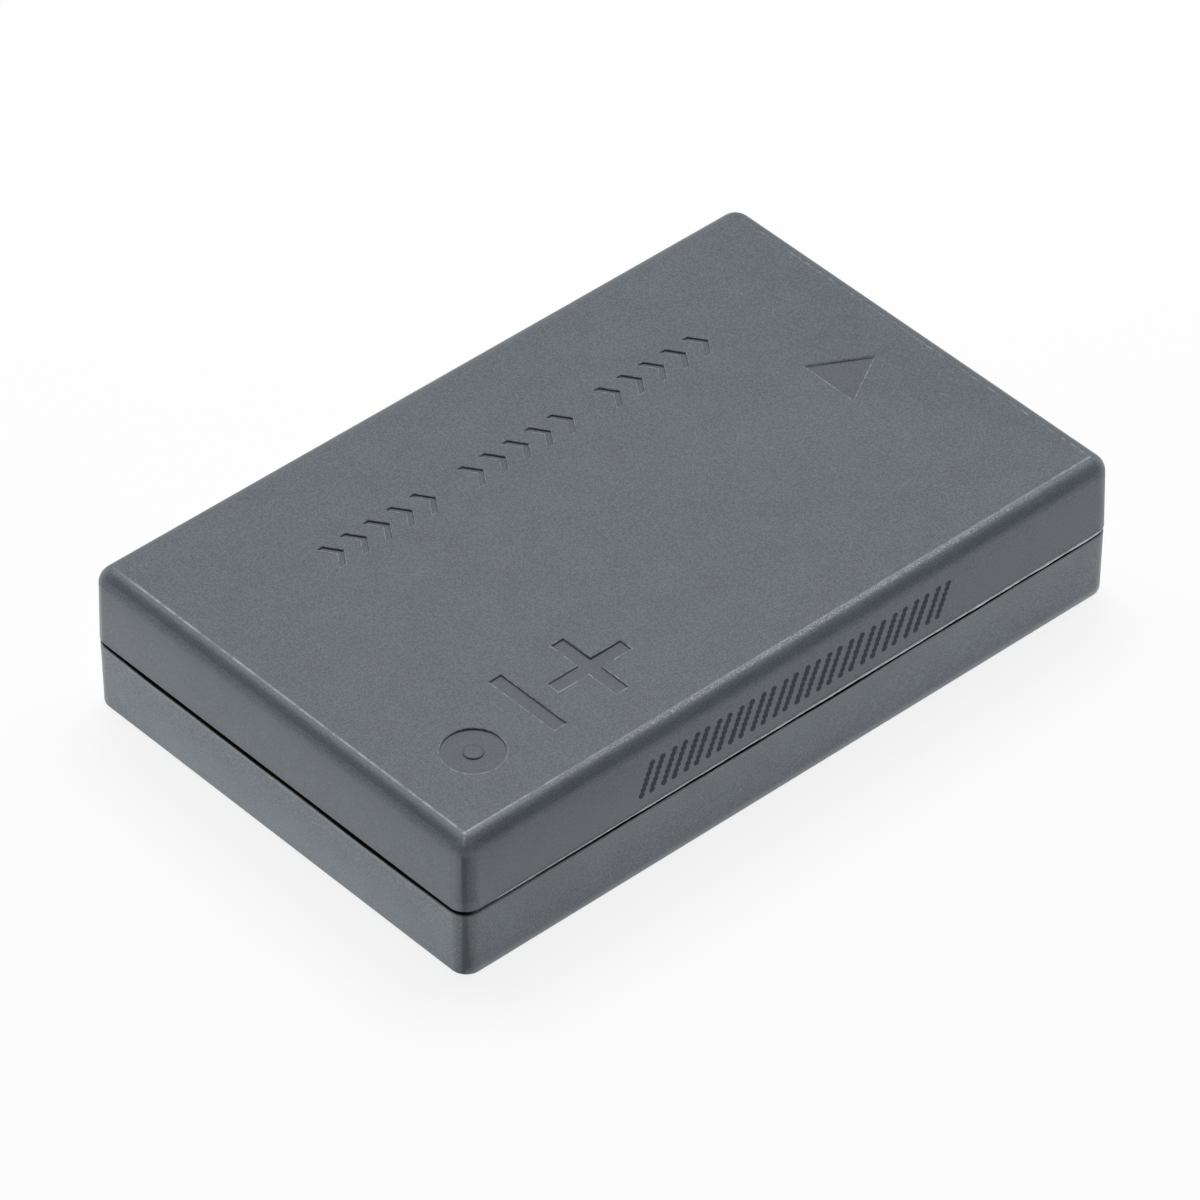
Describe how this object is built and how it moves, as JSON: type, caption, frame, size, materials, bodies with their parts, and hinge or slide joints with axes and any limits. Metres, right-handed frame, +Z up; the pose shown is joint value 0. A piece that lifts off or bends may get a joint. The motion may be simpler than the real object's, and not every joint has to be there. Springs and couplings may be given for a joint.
{
  "type": "camera battery",
  "caption": "Slim rectangular rechargeable battery pack for a compact camera: two welded plastic shells round a sealed cell, with recessed end contacts.",
  "frame": {"origin": "under the middle of the bottom face, on the surface that the battery rests on", "axes": "+X along the length towards the contact end that goes into the camera first, +Y across, +Z up through the face with the arrow"},
  "size_m": [0.05, 0.032, 0.0099],
  "materials": {
    "shell_plastic": "fine moulded grain, satin",
    "can_metal": "drawn, satin",
    "gasket_plastic": "matt",
    "nickel": "rolled strip, satin",
    "insulating_sheet": "pressed sheet, matt",
    "chip_body": "moulded, matt",
    "board": "solder mask, gloss",
    "chip_part": "fired ceramic",
    "contact_gold": "plated, bright",
    "pad_foam": "soft, matt"
  },
  "bodies": {
    "root": {"upper_shell": "shell_plastic", "lower_shell": "shell_plastic", "cell": "can_metal", "pole_gasket": "gasket_plastic", "negative_pole": "nickel", "lid_insulator": "insulating_sheet", "thermal_cutoff": "chip_body", "negative_tab": "nickel", "cutoff_lead": "nickel", "positive_tab": "nickel", "circuit_board": "board", "protection_chip": "chip_body", "switch_chip": "chip_body", "temperature_sensor": "chip_part", "sense_resistor": "chip_part", "filter_capacitor": "chip_part", "contact_positive": "contact_gold", "contact_sense": "contact_gold", "contact_negative": "contact_gold", "upper_pad": "pad_foam", "lower_pad": "pad_foam", "end_pad": "pad_foam"}
  },
  "joints": []
}
